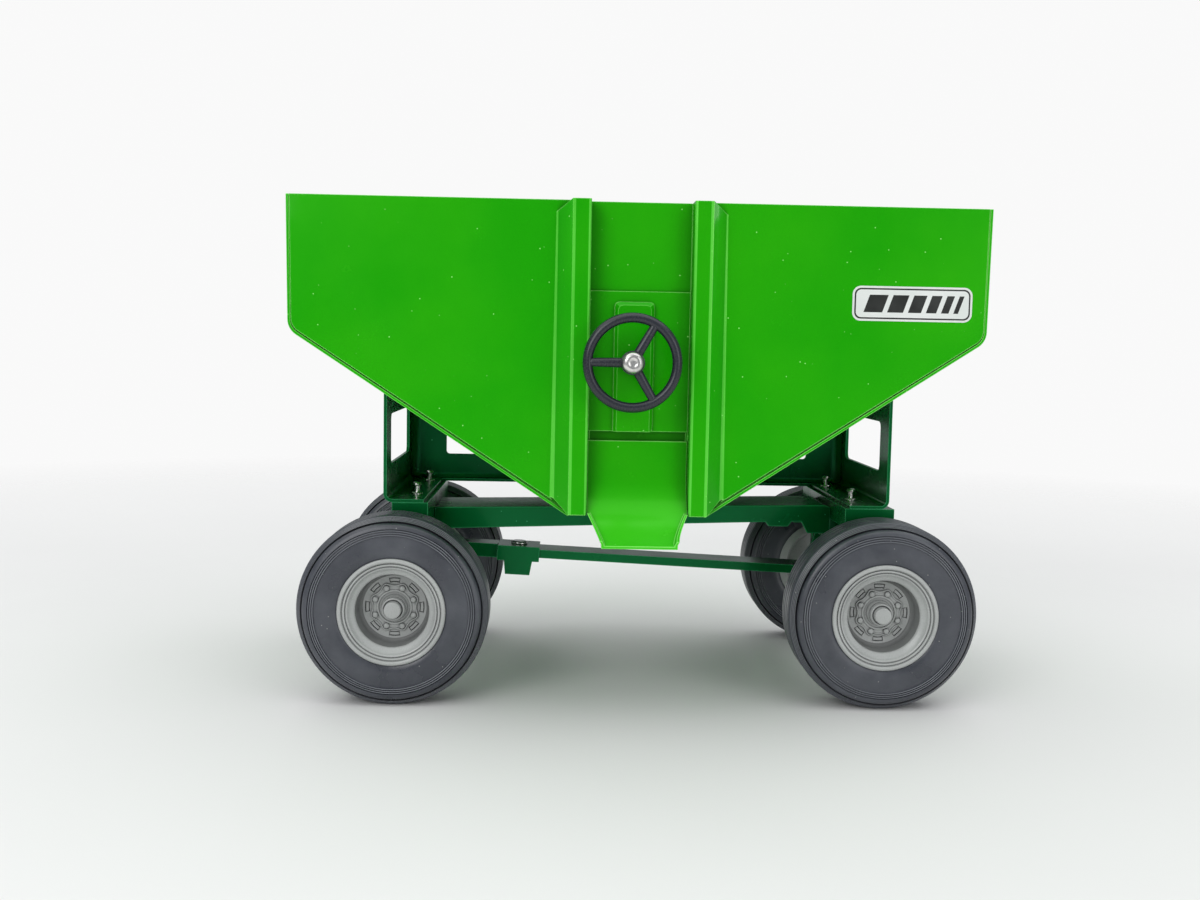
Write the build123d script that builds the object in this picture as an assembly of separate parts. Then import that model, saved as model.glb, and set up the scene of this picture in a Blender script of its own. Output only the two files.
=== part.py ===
from build123d import *
import math
import os

os.makedirs("parts", exist_ok=True)

# A one-sixteenth scale die-cast gravity wagon: a V-bottomed grain hopper with a side
# discharge gate, on a four-wheel running gear whose tongue is tucked under the reach.
# Millimetres. +X is the front of the wagon, -Y the discharge side, +Z up, ground at Z = 0.
# Every piece is drawn about the middle of the hopper and moved sideways at export so
# that the finished wagon stands centred on the origin.

# ---- sheet metal and fits ----
sheet = 0.8                 # hopper sheet thickness
plate_gap = 0.3             # clearance between pieces that slide past each other
run_fit = 0.05              # radial clearance of a turning pin or axle
seam = 0.25                 # open seam between pieces of the hopper
wall_seam = 0.1             # seam between the side panels and the end walls

# ---- hopper ----
rim_z = 138.5               # top of the hopper rim
rim_half_length = 92.7      # half length at the rim
bend_half_length = 92.3     # half length where the end walls turn into the slopes
trough_half_length = 18.3   # half length of the bottom of the V
trough_z = 55.3             # underside of the slopes at the bottom of the V
slope_deg = 33.1            # slope of the end floors
hopper_half_width = 60.0    # outer face of the side panels
bend_radius = 4.0           # inside radius where wall turns into slope
slope_seam = 0.55           # seam between side panel and sloping floor
rim_flange = 3.0            # inward flange round the rim
edge_flange = 4.0           # flange of the end panels that the side panels lie on
ramp_far_z = 118.0          # height at which the cross slope meets the far wall

# ---- posts and door bay in the discharge side ----
post_inner = 13.4           # half width of the door bay
post_flat = 18.2            # outer edge of a post's flat face
post_outer = 22.5           # foot of a post's sloping flank
post_raise = 4.5            # how far a post stands out from the panel
post_bottom_z = 56.2
post_top_chamfer = 3.2
post_bottom_chamfer = 4.2
bay_recess = 2.5            # door bay plate lies this far inside the panel
sill_z = 75.6               # bottom of the discharge opening
opening_top_z = 112.8
opening_half_width = 12.8

# ---- gate, rack, pinion and handwheel ----
cover_bottom_z = 78.1
cover_top_z = 115.2
cover_raise = 1.9           # how far the housing is pressed out of the cover plate
housing_left = -6.7
housing_right = 3.7
housing_top_z = 112.3
gate_height = 23.0
gate_thickness = 0.8
gate_travel = 11.5
gate_sill_lap = 0.8         # shut gate reaches this far below the sill
gate_lap = 1.6              # gate reaches this far past the sides of the opening
gear_module = 0.55
pinion_teeth = 10
pressure_deg = 25.0
tooth_backlash = 0.14
rack_addendum = 0.36
pinion_addendum = 0.44
gear_root = 0.57            # depth of the tooth gaps below the pitch line
gear_face = 1.5             # thickness of rack and pinion along the shaft
rack_back = 1.5             # rack material behind its teeth
shaft_x = -2.4
shaft_z = 96.5
shaft_radius = 1.2
wheel_radius = 12.85        # handwheel
wheel_section = 1.35
wheel_stand_out = 10.0      # handwheel's middle plane in front of the side panel
wheel_hub_radius = 3.1
wheel_hub_length = 4.2
spoke_radius = 1.2
rivet_head_radius = 2.75
rivet_head_height = 1.0

# ---- chute ----
chute_side_gap = 0.1
chute_wall = 0.8
chute_lip_height = 1.3
chute_reach = 16.0          # the lip stands this far out from the side panel
chute_lip_z = 50.0
chute_neck_z = 68.0
chute_shoulder_z = 56.8
chute_knee_z = 50.4
chute_mouth_half_width = 9.8

# ---- running gear ----
gear_x = 2.2                # middle of the wheelbase
wheelbase = 137.0
tyre_radius = 26.6
tyre_width = 17.5
track = 84.5                # between tyre centre planes
axle_radius = 1.5
axle_end = 47.0             # half length of an axle rod
deck_z = 54.7               # top of the bolsters, under the skirt

# ---- skirt between running gear and hopper ----
skirt_past_axle = 4.9       # end of the skirt beyond the axle
skirt_half_width = 31.5
skirt_sheet = 0.9
skirt_corner = 4.0
skirt_flange = 11.5
foot_rivet_in = 3.2         # rivets of the skirt's feet, inside the axle
foot_rivet_half_width = 18.0
skirt_bend = 2.5
window_half_width = 22.0
window_bottom_z = 65.0
window_top_z = 79.7
window_corner = 2.0
far_window_outer = 61.0
far_window_bottom_z = 63.5
far_window_margin = 4.5

# ---- bolsters and reach ----
bolster_past_axle = 2.5     # outer face of a bolster beyond its axle
bolster_length = 10.4
bolster_bottom_z = 46.0
leg_inner = 25.0
leg_half_length = 5.5
reach_half_width = 12.0
reach_wall = 1.2
reach_rear_top_z = 50.9
reach_rear_bottom_z = 44.3
reach_front_top_z = 53.2
reach_front_bottom_z = 48.0

# ---- steering bracket and tongue ----
front_bolster_bottom_z = 44.4
bracket_plate = 2.2
bracket_half_width = 28.5
bracket_half_length = 8.0
cheek = 2.5
kingpin_radius = 1.9
kingpin_head_radius = 3.2
kingpin_head = 1.0
lug_inner = 6.0
lug_wall = 1.6
tongue_pin_back = 8.0       # pin behind the kingpin
tongue_pin_z = 31.6
tongue_pin_radius = 1.2
tongue_rest_deg = 2.7       # the stowed tongue rises this much towards its tip
tongue_half_width = 5.5
tongue_depth = 2.6
tongue_wall = 1.0
saddle_start = 89.3         # distances along the tongue, from the pin
saddle_end = 102.3
saddle_wall = 0.8
saddle_depth = 4.6
guard_drop = 8.9
guard_half_base = 4.9
guard_half_foot = 3.8
tip_end = 117.0
tip_half_width = 4.0
tip_depth = 4.2
hitch_hole_radius = 1.5
hitch_rivet_radius = 1.1
hitch_rivet_head = 2.6

# ---- wheel ----
bead_radius = 14.0
rim_flange_radius = 14.9
disc_radius = 10.0
hub_radius = 3.4
bolt_circle = 5.9
bolt_radius = 0.55
bolt_count = 8
pocket_count = 8            # shallow pockets round the disc
pocket_circle = 7.65
pocket_depth = 0.45
disc_face = 0.4             # outer face of the disc, from the middle of the tyre
hub_face = 2.2
cap_gap = 0.2               # between hub and axle cap
cap_collar = 1.8
cap_dome = 2.0
cap_radius = 2.25

# ---- values that follow from the ones above ----
bend_z = trough_z + (bend_half_length - trough_half_length) * math.tan(math.radians(slope_deg))
panel_y = -hopper_half_width
post_face_y = panel_y - post_raise
bay_y = panel_y + bay_recess
gate_front_y = bay_y + sheet + plate_gap
gate_back_y = gate_front_y + gate_thickness
wheel_plane_y = panel_y - wheel_stand_out
chute_lip_y = panel_y - chute_reach
pitch_radius = gear_module * pinion_teeth / 2
rack_pitch_x = shaft_x + pitch_radius
housing_inner_y = bay_y - cover_raise
gear_y = housing_inner_y + 0.35
rear_axle_x = gear_x - wheelbase / 2
front_axle_x = gear_x + wheelbase / 2
axle_z = tyre_radius
skirt_half_length = wheelbase / 2 + skirt_past_axle
bolster_outer = wheelbase / 2 + bolster_past_axle
bolster_inner = bolster_outer - bolster_length
foot_rivet_x = wheelbase / 2 - foot_rivet_in
tongue_pin_x = front_axle_x - tongue_pin_back
x_shift = -gear_x
y_shift = -(chute_lip_y + hopper_half_width) / 2


def save(node, shape):
    """Write one named piece, moved so that the whole wagon is centred."""
    export_step(Pos(x_shift, y_shift, 0) * shape, f"parts/{node}.step")


def prism_y(points, y0, y1):
    """Solid with an XZ outline, from y0 to y1."""
    face = Plane.XZ * make_face(Polyline(*points, close=True))
    return Pos(0, y0, 0) * extrude(face, amount=y0 - y1)


def prism_x(points, x0, x1):
    """Solid with a YZ outline, from x0 to x1."""
    face = Plane.YZ * make_face(Polyline(*points, close=True))
    return Pos(x0, 0, 0) * extrude(face, amount=x1 - x0)


def prism_z(points, z0, z1):
    """Solid with an XY outline, from z0 to z1."""
    face = make_face(Polyline(*points, close=True))
    return Pos(0, 0, z0) * extrude(face, amount=z1 - z0)


def block(x0, x1, y0, y1, z0, z1):
    """Rectangular block between two corners."""
    centre = Pos((x0 + x1) / 2, (y0 + y1) / 2, (z0 + z1) / 2)
    return centre * Box(x1 - x0, y1 - y0, z1 - z0)


def rod_y(x, z, radius, y0, y1):
    """Round rod along Y."""
    return Pos(x, (y0 + y1) / 2, z) * Rot(90, 0, 0) * Cylinder(radius, y1 - y0)


def rod_z(x, y, radius, z0, z1):
    """Round rod along Z."""
    return Pos(x, y, (z0 + z1) / 2) * Cylinder(radius, z1 - z0)


def offset_path(points, distance):
    """Mitred copy of an open path, moved to its left."""
    normals = []
    for (ax, ay), (bx, by) in zip(points, points[1:]):
        length = math.hypot(bx - ax, by - ay)
        normals.append(((ay - by) / length, (bx - ax) / length))
    moved = []
    for i, (px, py) in enumerate(points):
        before = normals[max(i - 1, 0)]
        after = normals[min(i, len(normals) - 1)]
        scale = distance / (1 + before[0] * after[0] + before[1] * after[1])
        moved.append((px + (before[0] + after[0]) * scale, py + (before[1] + after[1]) * scale))
    return moved


def ribbon(points, thickness):
    """Closed outline of a bent sheet whose left face lies on the path."""
    return points + offset_path(points, -thickness)[::-1]


def mirrored(points):
    """Outline reflected across the YZ plane, same turning sense."""
    return [(-x, z) for x, z in points][::-1]


def end_path():
    """Outer face of the front end wall and slope, from the rim to the bottom of the V."""
    return [
        (rim_half_length, rim_z),
        (bend_half_length, bend_z),
        (trough_half_length, trough_z),
    ]


def inset_prism(distance, slope_distance, y0, y1):
    """Hopper outline, moved inwards from end walls and slopes, from y0 to y1."""
    wall = offset_path(end_path(), -distance)
    slope = offset_path(end_path(), -slope_distance)
    half = [(wall[0][0], rim_z), (wall[1][0], slope[1][1]), (slope[2][0], slope[2][1])]
    face = make_face(Polyline(*half, *mirrored(half), close=True))
    bends = [face.vertices().sort_by_distance((x, half[1][1], 0))[0]
             for x in (half[1][0], -half[1][0])]
    face = fillet(bends, bend_radius)
    return Pos(0, y0, 0) * extrude(Plane.XZ * face, amount=y0 - y1)


# ---- hopper shell ----

def slope_z(x):
    """Underside of the end slopes at a distance x from the middle."""
    return trough_z + (abs(x) - trough_half_length) * math.tan(math.radians(slope_deg))


def front_end_panel():
    """End wall and sloping floor, one bent sheet with flanges for the side panels."""
    width = hopper_half_width
    shell = prism_y(ribbon(end_path(), sheet), -width, width)
    bends = shell.edges().filter_by(Axis.Y).sort_by(Axis.X)
    outer = [e for e in bends if abs(e.center().X - bend_half_length) < 0.01]
    shell = fillet(outer, bend_radius + sheet)
    bends = shell.edges().filter_by(Axis.Y)
    inner_bend = offset_path(end_path(), -sheet)[1]
    inner = [e for e in bends if abs(e.center().X - inner_bend[0]) < 0.01
             and abs(e.center().Z - inner_bend[1]) < 0.01]
    shell = fillet(inner, bend_radius)
    flange = make_face(Polyline(*ribbon(offset_path(end_path(), -sheet), edge_flange), close=True))
    corner = offset_path(end_path(), -sheet)[1]
    corner_vertex = flange.vertices().sort_by_distance((corner[0], corner[1], 0))[0]
    flange = fillet(corner_vertex, bend_radius)
    for side in (-1, 1):
        inside = side * (width - sheet)
        strip = Pos(0, inside, 0) * extrude(Plane.XZ * flange, amount=side * sheet)
        strip &= block(post_inner + sheet + seam, rim_half_length, -width, width,
                       0, rim_z - sheet - seam)
        shell = shell + strip
    shell &= block(0, rim_half_length, -width, width, 0, rim_z)
    rim = block(rim_half_length - sheet - rim_flange, rim_half_length - sheet / 2,
                -width + sheet, width - sheet, rim_z - sheet, rim_z)
    return shell + rim


def side_plate(y0, y1):
    """Flat side panel, a seam inside the end walls and slopes."""
    return inset_prism(sheet + wall_seam, sheet + slope_seam, y0, y1)


def rim_flange_of(side):
    """Inward flange along the top of a side panel."""
    reach = rim_half_length - sheet - rim_flange - seam
    outer = side * (hopper_half_width - sheet / 2)
    inner = side * (hopper_half_width - sheet - rim_flange)
    return block(-reach, reach, min(outer, inner), max(outer, inner), rim_z - sheet, rim_z)


def post_section(side):
    """Plan of one pressed post and half of the recessed bay plate."""
    path = [
        (side * (post_outer + 2.0), panel_y),
        (side * post_outer, panel_y),
        (side * post_flat, post_face_y),
        (side * post_inner, post_face_y),
        (side * post_inner, bay_y),
        (0.0, bay_y),
    ]
    return ribbon(path, side * sheet)


def post_trim():
    """Front view outline of the pressed centre, with its clipped outer corners."""
    foot = post_outer
    half = [
        (post_outer + 2.0, rim_z),
        (post_outer + 2.0, slope_z(post_outer + 2.0) + 1.9),
        (foot, post_bottom_z + post_bottom_chamfer),
        (foot - post_bottom_chamfer, post_bottom_z),
    ]
    return half + mirrored(half)


def post_closing(side):
    """Top of one post, closed by a level strip and a clipped corner, and the plate behind it."""
    volume = prism_z([
        (side * post_outer, panel_y),
        (side * post_flat, post_face_y),
        (side * post_inner, post_face_y),
        (side * post_inner, panel_y + sheet),
        (side * post_outer, panel_y + sheet),
    ], 0, rim_z)
    strip = prism_y([
        (side * post_inner, rim_z),
        (side * post_flat, rim_z),
        (side * post_outer, rim_z - post_top_chamfer),
        (side * post_outer, rim_z - post_top_chamfer - 1.5 * sheet),
        (side * (post_flat - sheet / 2), rim_z - sheet),
        (side * post_inner, rim_z - sheet),
    ], post_face_y - 1, panel_y + 1)
    corner = prism_y(post_corner(side, 0), panel_y, panel_y + sheet)
    return volume & strip, corner


def post_corner(side, margin):
    """Front view triangle that is clipped off the top of a post."""
    return [
        (side * (post_outer + margin), rim_z + margin),
        (side * post_flat, rim_z + margin),
        (side * (post_outer + margin), rim_z - post_top_chamfer),
    ]


def near_side_panel():
    """Discharge side: flat sheet, two pressed posts and the recessed bay with its opening."""
    plate = side_plate(panel_y, panel_y + sheet)
    plate -= block(-post_outer, post_outer, panel_y - 1, panel_y + 2, 0, rim_z + 1)
    pressed = prism_z(post_section(1), 0, rim_z) + prism_z(post_section(-1), 0, rim_z)
    pressed &= prism_y(post_trim(), post_face_y - 1, bay_y + 2)
    panel = plate + rim_flange_of(-1)
    for side in (-1, 1):
        pressed -= prism_y(post_corner(side, 0.01), post_face_y - 1, panel_y)
    panel -= block(-post_inner - sheet, post_inner + sheet, panel_y - 1, bay_y, 0, rim_z + 1)
    panel += pressed
    for side in (-1, 1):
        strip, corner = post_closing(side)
        panel += strip + corner
    slope = prism_y(ribbon(end_path(), sheet + wall_seam), panel_y, panel_y + 2 * sheet)
    panel -= slope + mirror(slope, about=Plane.YZ)
    panel -= block(-opening_half_width, opening_half_width, bay_y - 1, bay_y + 2,
                   sill_z, opening_top_z)
    return panel


def far_side_panel():
    """Plain side away from the discharge gate."""
    plate = side_plate(hopper_half_width - sheet, hopper_half_width)
    return plate + rim_flange_of(1)


def ramp_line():
    """Top face of the cross slope in the YZ plane, from the sill to the far wall."""
    near_y = gate_back_y + plate_gap
    far_y = hopper_half_width - 2 * sheet
    return (near_y, sill_z), (far_y, ramp_far_z)


def floor_ramp():
    """Cross slope that leads the load from the far wall down to the sill."""
    (near_y, near_z), (far_y, far_z) = ramp_line()
    slab = prism_x([
        (near_y, near_z),
        (far_y, far_z),
        (far_y, far_z - sheet),
        (near_y, near_z - sheet),
    ], -rim_half_length, rim_half_length)
    ramp = slab & inset_prism(sheet, sheet, -hopper_half_width, hopper_half_width)
    guide = opening_half_width + gate_lap + plate_gap + sheet
    for side in (-1, 1):
        x0, x1 = sorted((side * (opening_half_width - seam), side * (guide + seam)))
        ramp -= block(x0, x1, near_y - 1, near_y + sheet + seam, sill_z - 5, sill_z + 5)
    return ramp


# ---- gate ----

def door_cover_plate():
    """Fixed plate over the gate, with the rack housing pressed out of it."""
    half = post_inner - chute_side_gap
    front = bay_y - sheet
    plate = block(-half, half, front, bay_y, cover_bottom_z, cover_top_z)
    front_y = front - cover_raise
    housing = block(housing_left, housing_right, front_y, bay_y, cover_bottom_z, housing_top_z)
    crest = housing.edges().filter_by(Axis.Z).group_by(Axis.Y)[0]
    crest += housing.edges().filter_by(Axis.X).group_by(Axis.Z)[-1].group_by(Axis.Y)[0]
    housing = chamfer(crest, sheet)
    hollow = block(housing_left + sheet, housing_right - sheet, front_y + sheet, bay_y + 1,
                   cover_bottom_z - 1, housing_top_z - sheet)
    bore = rod_y(shaft_x, shaft_z, shaft_radius + run_fit, front_y - 1, bay_y + 1)
    return plate + housing - hollow - bore


def gate_plate():
    """Sliding gate behind the bay plate, shut."""
    half = opening_half_width + gate_lap
    bottom = sill_z - gate_sill_lap
    return block(-half, half, gate_front_y, gate_back_y, bottom, bottom + gate_height)


def gate_guides():
    """Two angle strips that hold the gate against the back of the bay plate."""
    half = opening_half_width + gate_lap
    bottom = sill_z - gate_sill_lap - 0.5
    top = bottom + gate_height + gate_travel + 3.0
    strips = []
    for side in (-1, 1):
        edge = side * (half + plate_gap)
        wall = edge + side * sheet
        lip = side * (half - 1.2)
        web = block(min(edge, wall), max(edge, wall), bay_y + sheet,
                    gate_back_y + plate_gap + sheet, bottom, top)
        keeper = block(min(lip, wall), max(lip, wall), gate_back_y + plate_gap,
                       gate_back_y + plate_gap + sheet, bottom, top)
        strips.append(web + keeper)
    return Compound(children=strips)


def rack_tooth(z):
    """One rack tooth pointing to the pinion."""
    lean = math.tan(math.radians(pressure_deg))
    half_pitch = (math.pi * gear_module / 2 - tooth_backlash) / 2
    tip = half_pitch - rack_addendum * lean
    root = half_pitch + gear_root * lean
    return prism_y([
        (rack_pitch_x - rack_addendum, z - tip),
        (rack_pitch_x - rack_addendum, z + tip),
        (rack_pitch_x + gear_root + 0.1, z + root),
        (rack_pitch_x + gear_root + 0.1, z - root),
    ], gear_y, gear_y + gear_face)


def gate_rack():
    """Toothed strip fixed to the gate by a foot that reaches back to it."""
    pitch = math.pi * gear_module
    first = -math.ceil(gate_travel / pitch) - 1
    low = shaft_z + first * pitch - pitch / 2
    high = shaft_z + 1.5 * pitch
    left = rack_pitch_x + gear_root
    right = left + rack_back
    rack = block(left, right, gear_y, gear_y + gear_face, low, high)
    for i in range(first, 2):
        rack += rack_tooth(shaft_z + i * pitch)
    foot = block(left, right, gear_y, gate_front_y, low, low + 12.0)
    return rack + foot


def involute_tooth(centre_deg):
    """Plan of one pinion tooth about the origin, as points from root to root."""
    base = pitch_radius * math.cos(math.radians(pressure_deg))
    tip = pitch_radius + pinion_addendum
    root = pitch_radius - gear_root
    half = (math.pi * gear_module / 2 - tooth_backlash) / (2 * pitch_radius)
    at_pitch = math.tan(math.radians(pressure_deg)) - math.radians(pressure_deg)
    flank = []
    steps = 5
    for i in range(steps):
        r = base + (tip - base) * i / (steps - 1)
        roll = math.sqrt(max((r / base) ** 2 - 1, 0))
        flank.append((r, half + at_pitch - (roll - math.atan(roll))))
    rise = [(root, flank[0][1])] + flank
    both = [(r, -a) for r, a in rise] + [(r, a) for r, a in rise[::-1]]
    turn = math.radians(centre_deg)
    return [(r * math.cos(a + turn), r * math.sin(a + turn)) for r, a in both]


def pinion():
    """Ten-tooth pinion on the inner end of the handwheel shaft."""
    step = 360 / pinion_teeth
    outline = []
    for i in range(pinion_teeth):
        outline += involute_tooth(step * (i + 0.5))
    wheel = prism_y(outline, gear_y, gear_y + gear_face)
    wheel = Pos(shaft_x, 0, shaft_z) * wheel
    return wheel - rod_y(shaft_x, shaft_z, shaft_radius, gear_y - 1, gear_y + gear_face + 1)


def handwheel_shaft():
    """Rivet that carries handwheel and pinion: domed head outside, stem through the cover."""
    hub_front = wheel_plane_y - wheel_hub_length / 2
    stem = rod_y(shaft_x, shaft_z, shaft_radius, hub_front, gear_y + gear_face)
    head = rod_y(shaft_x, shaft_z, rivet_head_radius, hub_front - rivet_head_height, hub_front)
    crown = head.edges().group_by(Axis.Y)[0]
    return stem + fillet(crown, rivet_head_height * 0.6)


def handwheel():
    """Three-spoke moulded handwheel."""
    ring = Rot(90, 0, 0) * Torus(wheel_radius - wheel_section, wheel_section)
    hub = Rot(90, 0, 0) * Cylinder(wheel_hub_radius, wheel_hub_length)
    wheel = ring + hub
    for angle in (60, 180, 300):
        spoke = Pos(wheel_radius / 2, 0, 0) * Rot(0, 90, 0) * Cylinder(
            spoke_radius, wheel_radius - wheel_section)
        wheel += Rot(0, -angle, 0) * spoke
    boss_end = bay_y - sheet - cover_raise - 0.1
    boss_length = boss_end - (wheel_plane_y + wheel_hub_length / 2)
    boss = Pos(0, wheel_hub_length / 2 + boss_length / 2, 0) * Rot(90, 0, 0) * Cylinder(
        wheel_hub_radius * 0.75, boss_length)
    bore = Rot(90, 0, 0) * Cylinder(shaft_radius, 4 * wheel_hub_length + 2 * boss_length)
    return Pos(shaft_x, wheel_plane_y, shaft_z) * (wheel + boss - bore)


# ---- chute ----

def chute_section(low, high):
    """YZ section of the chute between two heights above its sliding surface."""
    start = Vector(bay_y - chute_wall, sill_z)
    neck = Vector(bay_y - chute_wall - 0.4, chute_neck_z)
    lip = Vector(chute_lip_y, chute_lip_z)
    along = (neck - start).normalized()
    inward = Vector(along.Y, -along.X)
    reach_out = lip - neck
    radius = reach_out.length ** 2 / (2 * inward.dot(reach_out))
    centre = neck + inward * radius
    middle = ((neck - centre).normalized() + (lip - centre).normalized()).normalized()
    rails = []
    for height in (low, high):
        bend = neck + inward * height
        end = centre + (lip - centre).normalized() * (radius - height)
        crown = centre + middle * (radius - height)
        rails.append((start + inward * height, bend, crown, end))
    edges = []
    for first, bend, crown, end in rails:
        edges += [Line(first, bend), ThreePointArc(bend, crown, end)]
    edges += [Line(rails[0][0], rails[1][0]), Line(rails[0][3], rails[1][3])]
    return make_face(edges)


def chute_sheet(low, high):
    """Curved layer of the chute, wider than the bay."""
    return Pos(-20, 0, 0) * extrude(Plane.YZ * chute_section(low, high), amount=40)


def chute_outline(inset, floor):
    """Front view outline of the chute, drawn in by inset at its sides."""
    wide = post_inner - chute_side_gap - inset
    mouth = chute_mouth_half_width - inset
    half = [
        (wide, sill_z + 1),
        (wide, chute_shoulder_z),
        (mouth, chute_knee_z),
        (mouth, floor),
    ]
    return half + mirrored(half)


def chute():
    """Discharge chute with low side lips round its mouth."""
    far = chute_lip_y - 10
    floor = chute_lip_z - 10
    pan = chute_sheet(-chute_wall, 0) & prism_y(chute_outline(0, floor), far, 0)
    lips = chute_sheet(0, chute_lip_height) & prism_y(chute_outline(0, floor), far, 0)
    lips -= prism_y(chute_outline(chute_wall, floor - 1), far - 1, 1)
    lips &= block(-20, 20, far, 0, floor, chute_shoulder_z)
    return pan + lips


# ---- skirt, bolsters and reach ----

def skirt():
    """Pressed skirt, open on the discharge side, that carries the hopper on the bolsters."""
    length = skirt_half_length
    width = skirt_half_width
    tall = 60.0
    outer = block(-length, length, -width, width, deck_z, deck_z + tall)
    inner = block(-length + skirt_sheet, length - skirt_sheet, -width - 1,
                  width - skirt_sheet, deck_z + skirt_sheet, deck_z + tall + 1)
    corners = [e for e in outer.edges().filter_by(Axis.Z) if e.center().Y > 0]
    outer = fillet(corners, skirt_corner)
    corners = [e for e in inner.edges().filter_by(Axis.Z) if e.center().Y > 0]
    inner = fillet(corners, skirt_corner - skirt_sheet)
    feet = [e for e in outer.edges().filter_by(Axis.Y).group_by(Axis.Z)[0]]
    outer = fillet(feet, skirt_bend)
    feet = [e for e in inner.edges().filter_by(Axis.Y).group_by(Axis.Z)[0]]
    inner = fillet(feet, skirt_bend - skirt_sheet)
    body = outer - inner
    body -= block(-length + skirt_flange, length - skirt_flange, -width - 1,
                  width - 5.0, deck_z - 1, deck_z + 2 * skirt_sheet)
    window = Plane.YZ * RectangleRounded(2 * window_half_width, window_top_z - window_bottom_z,
                                         window_corner)
    cutter = extrude(Pos(0, 0, (window_top_z + window_bottom_z) / 2) * window,
                     amount=2 * length, both=True)
    body -= cutter & (block(-2 * length, -length + 3, -width, width, 0, 200)
                      + block(length - 3, 2 * length, -width, width, 0, 200))
    body = Pos(gear_x, 0, 0) * body
    for side in (-1, 1):
        body -= far_window(side)
    below = [(x, z) for x, z in end_path()][::-1]
    under = [(trough_half_length, deck_z - 5)] + below + [(rim_half_length, deck_z - 5)]
    middle = [(0, deck_z - 5), (0, trough_z), (trough_half_length, trough_z),
              (trough_half_length, deck_z - 5)]
    space = prism_y(under, -width - 2, width + 2) + prism_y(middle, -width - 2, width + 2)
    space = space + mirror(space, about=Plane.YZ)
    return body & space


def far_window(side):
    """Window of the skirt's far side, under one slope."""
    outer = far_window_outer
    tan = math.tan(math.radians(slope_deg))
    top = slope_z(outer) - far_window_margin
    inner = trough_half_length + (far_window_bottom_z + 2.5 + far_window_margin - trough_z) / tan
    points = [
        (side * outer, far_window_bottom_z),
        (side * outer, top),
        (side * inner, far_window_bottom_z + 2.5),
        (side * inner, far_window_bottom_z),
    ]
    face = make_face(Polyline(*points, close=True))
    face = fillet(face.vertices(), 1.1)
    cut = extrude(Plane.XZ * face, amount=-6)
    return Pos(gear_x, skirt_half_width - 3, 0) * cut


def skirt_rivets():
    """Steel rivets that fasten the skirt's flanges to the bolsters."""
    rivets = []
    for x in (-foot_rivet_x, foot_rivet_x):
        for y in (-foot_rivet_half_width, foot_rivet_half_width):
            at = gear_x + x
            stem = rod_z(at, y, 0.8, deck_z + skirt_sheet, deck_z + skirt_sheet + 2.6)
            head = rod_z(at, y, 1.3, deck_z + skirt_sheet + 2.6, deck_z + skirt_sheet + 3.6)
            collar = rod_z(at, y, 1.7, deck_z + skirt_sheet, deck_z + skirt_sheet + 0.6)
            rivets.append(stem + head + collar)
    return Compound(children=rivets)


def rear_bolster():
    """Cast cross beam with a leg at each end for the rear axle."""
    beam = block(-bolster_outer, -bolster_inner, -skirt_half_width, skirt_half_width,
                 bolster_bottom_z, deck_z)
    body = beam
    axle_x = -wheelbase / 2
    for side in (-1, 1):
        y0, y1 = sorted((side * leg_inner, side * skirt_half_width))
        leg = block(axle_x - leg_half_length, axle_x + leg_half_length, y0, y1,
                    axle_z, bolster_bottom_z)
        eye = rod_y(axle_x, axle_z, leg_half_length, y0, y1)
        body += leg + eye
    body = Pos(gear_x, 0, 0) * body
    return body - rod_y(rear_axle_x, axle_z, axle_radius, -60, 60)


def front_bolster():
    """Cast cross beam over the steering bracket."""
    beam = block(bolster_inner, bolster_outer + 4.0, -skirt_half_width, skirt_half_width,
                 bolster_bottom_z + 3.0, deck_z)
    pad = rod_z(wheelbase / 2, 0, 9.0, front_bolster_bottom_z, bolster_bottom_z + 3.0)
    pad &= block(bolster_inner, 90, -20, 20, 0, 90)
    body = Pos(gear_x, 0, 0) * (beam + pad)
    hole = rod_z(front_axle_x, 0, kingpin_radius, 0, 100)
    sink = rod_z(front_axle_x, 0, kingpin_head_radius + 0.2, deck_z - kingpin_head, 100)
    return body - hole - sink


def reach():
    """Inverted channel between the bolsters, with the steering stop tab under it."""
    x0 = -bolster_inner
    x1 = bolster_inner
    outline = [
        (x0, reach_rear_bottom_z),
        (x0, reach_rear_top_z),
        (x1 - 2.0, reach_front_top_z),
        (x1, reach_front_top_z - 0.6),
        (x1, front_bolster_bottom_z),
        (x1 - 7.0, front_bolster_bottom_z),
        (x1 - 9.0, reach_front_bottom_z),
        (x1 - 12.0, reach_front_bottom_z - 0.1),
        (x1 - 13.0, reach_front_bottom_z - 1.6),
        (x1 - 19.0, reach_front_bottom_z - 1.6),
        (x1 - 20.0, reach_front_bottom_z - 0.3),
    ]
    solid = prism_y(outline, -reach_half_width, reach_half_width)
    inner = prism_y([
        (x0 - 1, 0),
        (x0 - 1, reach_rear_top_z - reach_wall),
        (x1 + 1, reach_front_top_z - reach_wall - 0.6),
        (x1 + 1, 0),
    ], -reach_half_width + reach_wall, reach_half_width - reach_wall)
    return Pos(gear_x, 0, 0) * (solid - inner)


def kingpin():
    """Headed rivet on which the front axle steers."""
    low = front_bolster_bottom_z - plate_gap - bracket_plate - plate_gap
    stem = rod_z(front_axle_x, 0, kingpin_radius, low, deck_z - kingpin_head)
    head = rod_z(front_axle_x, 0, kingpin_head_radius, deck_z - kingpin_head, deck_z - 0.1)
    upset = rod_z(front_axle_x, 0, kingpin_head_radius, low - kingpin_head, low)
    return stem + head + upset


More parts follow.
